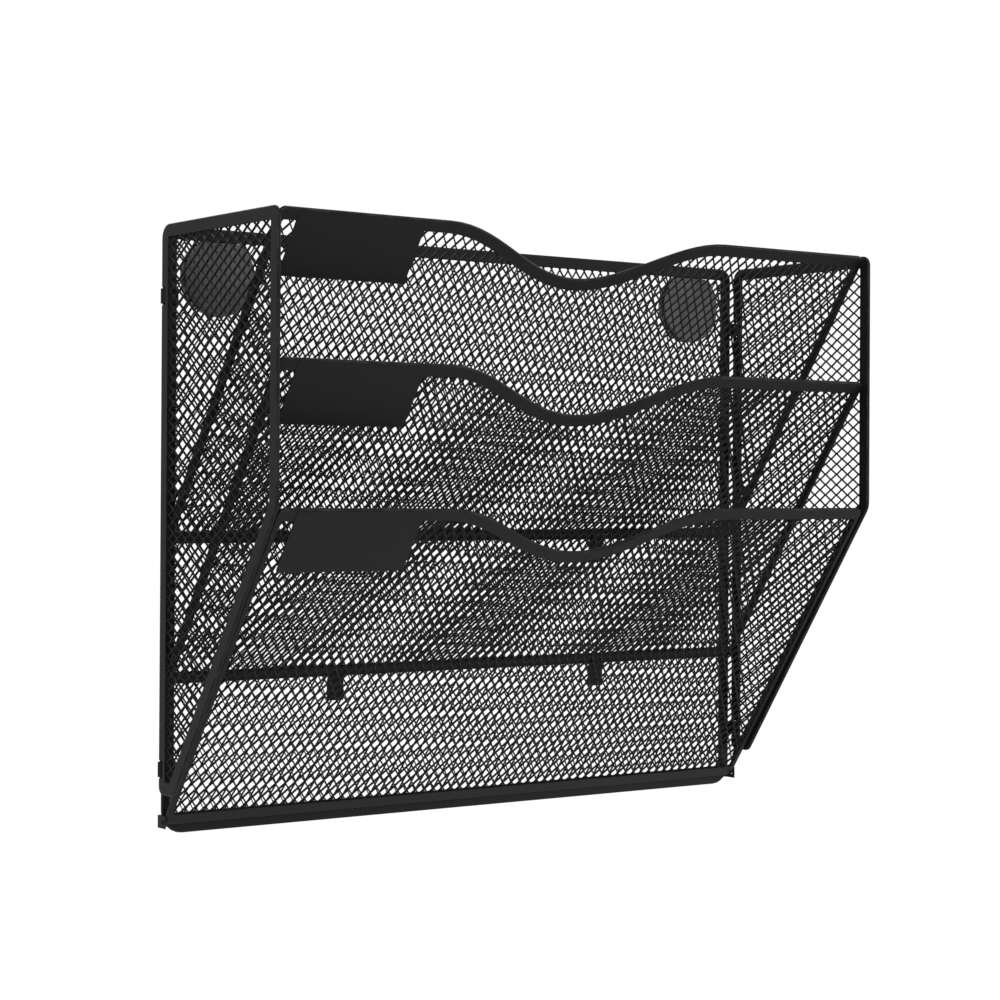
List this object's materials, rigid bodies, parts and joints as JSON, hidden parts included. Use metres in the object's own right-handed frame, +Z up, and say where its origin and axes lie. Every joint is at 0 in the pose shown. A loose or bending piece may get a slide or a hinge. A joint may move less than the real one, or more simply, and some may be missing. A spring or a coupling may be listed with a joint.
{
  "type": "hanging file rack",
  "caption": "Wall file rack of black expanded steel mesh with slanting pockets, dipped rims, hinged side panels and round magnets behind its top corners.",
  "frame": {"origin": "on the wall plane, midway between the two magnets", "axes": "+X along the wall to the right as seen from the front, +Y into the wall, +Z up"},
  "size_m": [0.3322, 0.103, 0.2628],
  "materials": {
    "black_coat": "satin black powder coat on steel strip",
    "mesh_coat": "satin black powder coat on expanded steel mesh",
    "zinc_steel": "dull zinc plated steel cup",
    "magnet_ceramic": "matt dark grey ceramic magnet",
    "pad_rubber": "matt black rubber pad"
  },
  "bodies": {
    "back": {"back_frame": "black_coat", "back_mesh": "mesh_coat", "magnet_cup_left": "zinc_steel", "magnet_cap_left": "zinc_steel", "magnet_left": "magnet_ceramic", "magnet_pad_left": "pad_rubber", "hinge_clip_left_upper": "black_coat", "hinge_clip_left_lower": "black_coat", "hinge_ear_left": "black_coat", "magnet_cup_right": "zinc_steel", "magnet_cap_right": "zinc_steel", "magnet_right": "magnet_ceramic", "magnet_pad_right": "pad_rubber", "hinge_clip_right_upper": "black_coat", "hinge_clip_right_lower": "black_coat", "hinge_ear_right": "black_coat", "strap_top_left": "black_coat", "strap_top_right": "black_coat", "strap_middle_left": "black_coat", "strap_middle_right": "black_coat"},
    "side_left": {"side_left_frame": "black_coat", "side_left_mesh": "mesh_coat"},
    "side_right": {"side_right_frame": "black_coat", "side_right_mesh": "mesh_coat"},
    "pocket_top": {"pocket_top_frame": "black_coat", "pocket_top_mesh": "mesh_coat", "label_plate_top": "black_coat"},
    "pocket_middle": {"pocket_middle_frame": "black_coat", "pocket_middle_mesh": "mesh_coat", "label_plate_middle": "black_coat"},
    "pocket_bottom": {"pocket_bottom_frame": "black_coat", "pocket_bottom_mesh": "mesh_coat", "label_plate_bottom": "black_coat"}
  },
  "joints": [
    {"name": "side_left_swing", "type": "hinge", "parent": "back", "child": "side_left", "pos_m": [-0.1646, -0.0071, -0.0101], "axis": [0, 0, -1], "range_deg": [0, 90]},
    {"name": "side_right_swing", "type": "hinge", "parent": "back", "child": "side_right", "pos_m": [0.1646, -0.0071, -0.0101], "axis": [0, 0, 1], "range_deg": [0, 90]},
    {"name": "pocket_top_fold", "type": "hinge", "parent": "back", "child": "pocket_top", "pos_m": [0, -0.0071, -0.11555], "axis": [-1, 0, 0], "range_deg": [0, 28]},
    {"name": "pocket_middle_fold", "type": "hinge", "parent": "back", "child": "pocket_middle", "pos_m": [0, -0.0071, -0.17605], "axis": [-1, 0, 0], "range_deg": [0, 28]},
    {"name": "pocket_bottom_fold", "type": "hinge", "parent": "back", "child": "pocket_bottom", "pos_m": [0, -0.0071, -0.23655], "axis": [-1, 0, 0], "range_deg": [0, 28]}
  ],
  "couplings": [
    {"joint": "pocket_middle_fold", "follows": "pocket_top_fold", "ratio": 1},
    {"joint": "pocket_bottom_fold", "follows": "pocket_top_fold", "ratio": 1}
  ]
}
